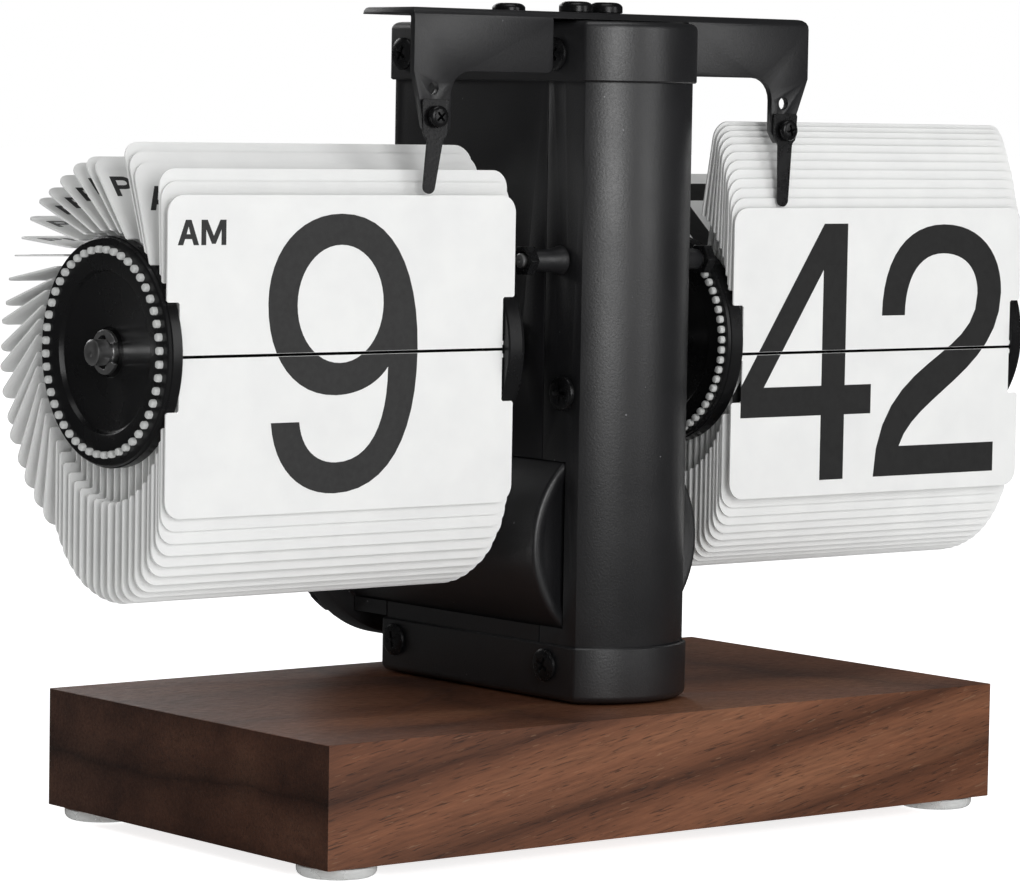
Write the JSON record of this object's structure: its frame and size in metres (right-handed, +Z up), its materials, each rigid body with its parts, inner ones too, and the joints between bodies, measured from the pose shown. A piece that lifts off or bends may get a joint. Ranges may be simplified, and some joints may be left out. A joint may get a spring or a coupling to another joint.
{
  "type": "desk flip clock",
  "caption": "Mechanical split-flap desk clock: a walnut base, a slim black column and two drums of white number flaps for hours and minutes.",
  "frame": {"origin": "centre of the bounding box in plan, on the surface the feet stand on", "axes": "+Z up, -Y towards the person reading the clock, +X to that person's right, along both drums"},
  "size_m": [0.2008, 0.0926, 0.146],
  "materials": {
    "walnut": "oiled walnut, open grain",
    "silicone": "translucent white bumper",
    "powder_coat": "satin black powder coat",
    "black_steel": "blackened steel",
    "black_plastic": "glossy black moulding",
    "flap_white": "thin white sheet, satin",
    "steel": "plain turned steel",
    "brass": "cut brass",
    "gear_plastic": "natural acetal",
    "cell_jacket": "printed sleeve"
  },
  "bodies": {
    "stand": {"base_block": "walnut", "foot_front_left": "silicone", "foot_front_right": "silicone", "foot_rear_left": "silicone", "foot_rear_right": "silicone", "base_screw_front": "steel", "base_screw_rear": "steel", "bottom_cap": "powder_coat", "top_cap": "powder_coat", "front_cover": "powder_coat", "rear_housing": "powder_coat", "battery_tube": "powder_coat", "battery_cell": "cell_jacket", "battery_spring": "steel", "claw_bracket": "powder_coat", "hour_claw": "black_steel", "minute_claw": "black_steel", "hour_claw_screw": "black_steel", "minute_claw_screw": "black_steel", "bracket_screw_left": "black_steel", "bracket_screw_right": "black_steel", "bracket_screw_rear": "black_steel", "top_cap_screw_front_left": "black_steel", "top_cap_screw_front_right": "black_steel", "top_cap_screw_rear_left": "black_steel", "top_cap_screw_rear_right": "black_steel", "bottom_cap_screw_front_left": "black_steel", "bottom_cap_screw_front_right": "black_steel", "bottom_cap_screw_rear_left": "black_steel", "bottom_cap_screw_rear_right": "black_steel", "panel_screw_left": "black_steel", "panel_screw_right": "black_steel", "stop_post_left": "steel", "stop_post_right": "steel", "stop_nut_left": "steel", "stop_nut_right": "steel", "shaft_bush_left": "black_steel", "shaft_bush_right": "black_steel", "motor": "steel", "hour_lower_flap": "flap_white", "hour_upper_flaps": "flap_white", "hour_rear_flaps": "flap_white", "minute_lower_flap": "flap_white", "minute_upper_flaps": "flap_white", "minute_rear_flaps": "flap_white"},
    "minute_drum": {"minute_inner_disc": "black_plastic", "minute_outer_disc": "black_plastic", "minute_shaft": "steel", "minute_clip": "steel", "minute_pinion": "gear_plastic"},
    "hour_drum": {"hour_inner_disc": "black_plastic", "hour_outer_disc": "black_plastic", "hour_shaft": "steel", "hour_clip": "steel", "hour_wheel": "gear_plastic"},
    "transfer": {"transfer_arbor": "gear_plastic"},
    "motor_rotor": {"motor_pinion": "brass"},
    "minute_flap": {"minute_falling_flap": "flap_white"},
    "hour_flap": {"hour_falling_flap": "flap_white"},
    "battery_door": {"battery_cap": "black_plastic"}
  },
  "joints": [
    {"name": "minute_drum_turn", "type": "hinge", "parent": "stand", "child": "minute_drum", "pos_m": [0, -0.00865, 0.0856], "axis": [1, 0, 0], "continuous": true},
    {"name": "hour_drum_turn", "type": "hinge", "parent": "stand", "child": "hour_drum", "pos_m": [0, -0.00865, 0.0856], "axis": [1, 0, 0], "continuous": true},
    {"name": "transfer_turn", "type": "hinge", "parent": "stand", "child": "transfer", "pos_m": [0, 0.00569, 0.09563], "axis": [1, 0, 0], "continuous": true},
    {"name": "motor_turn", "type": "hinge", "parent": "stand", "child": "motor_rotor", "pos_m": [0, 0.00265, 0.11286], "axis": [1, 0, 0], "continuous": true},
    {"name": "hour_flap_fall", "type": "hinge", "parent": "stand", "child": "hour_flap", "pos_m": [0, -0.02655, 0.0856], "axis": [1, 0, 0], "range_deg": [0, 180]},
    {"name": "minute_flap_fall", "type": "hinge", "parent": "stand", "child": "minute_flap", "pos_m": [0, -0.02725, 0.08363], "axis": [1, 0, 0], "range_deg": [0, 180]},
    {"name": "battery_door_slide", "type": "slide", "parent": "stand", "child": "battery_door", "axis": [0, 1, 0], "range_m": [0, 0.012]}
  ],
  "couplings": [
    {"joint": "hour_drum_turn", "follows": "minute_drum_turn", "ratio": 0.041667},
    {"joint": "transfer_turn", "follows": "minute_drum_turn", "ratio": -0.16667},
    {"joint": "motor_turn", "follows": "minute_drum_turn", "ratio": 1}
  ]
}
